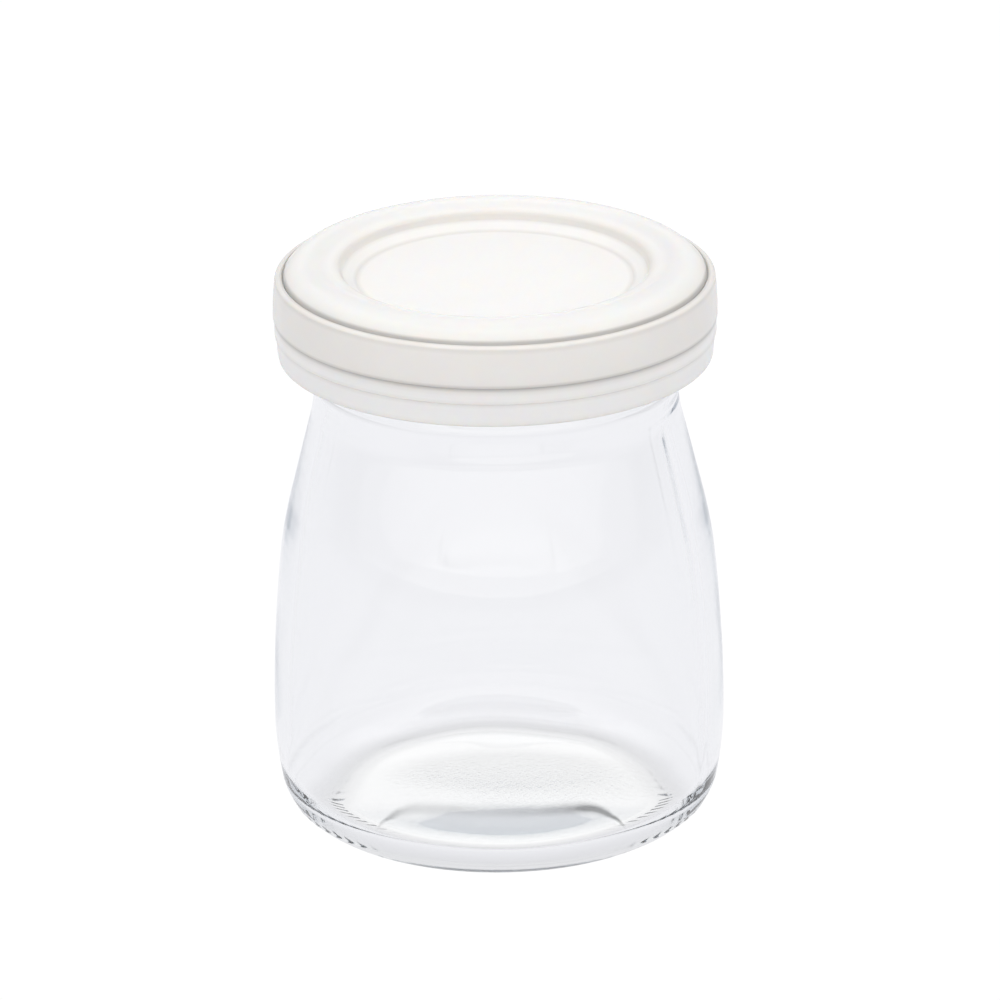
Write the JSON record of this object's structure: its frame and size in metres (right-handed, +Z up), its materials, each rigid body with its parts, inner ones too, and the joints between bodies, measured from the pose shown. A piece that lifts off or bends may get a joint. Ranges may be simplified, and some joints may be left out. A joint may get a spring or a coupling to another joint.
{
  "type": "yogurt jar",
  "caption": "Small clear glass jar with a belly, a drawn-in neck and a beaded rim, closed by a translucent press-on lid with a recessed panel. It holds one portion of yogurt or pudding.",
  "frame": {"origin": "middle of the flat ring that the jar stands on", "axes": "+Z up along the axis of the jar and the lid; the jar is the same all round, so X and Y are free"},
  "size_m": [0.0602, 0.0602, 0.0778],
  "materials": {
    "clear_glass": "clear pressed soda-lime glass, smooth, with a faint waviness inside",
    "milky_plastic": "translucent natural polyethylene, satin"
  },
  "bodies": {
    "jar": {"glass_jar": "clear_glass"},
    "lid": {"snap_lid": "milky_plastic"}
  },
  "joints": [
    {"name": "lid_lift", "type": "slide", "parent": "jar", "child": "lid", "axis": [0, 0, 1], "range_m": [0, 0.06]}
  ]
}
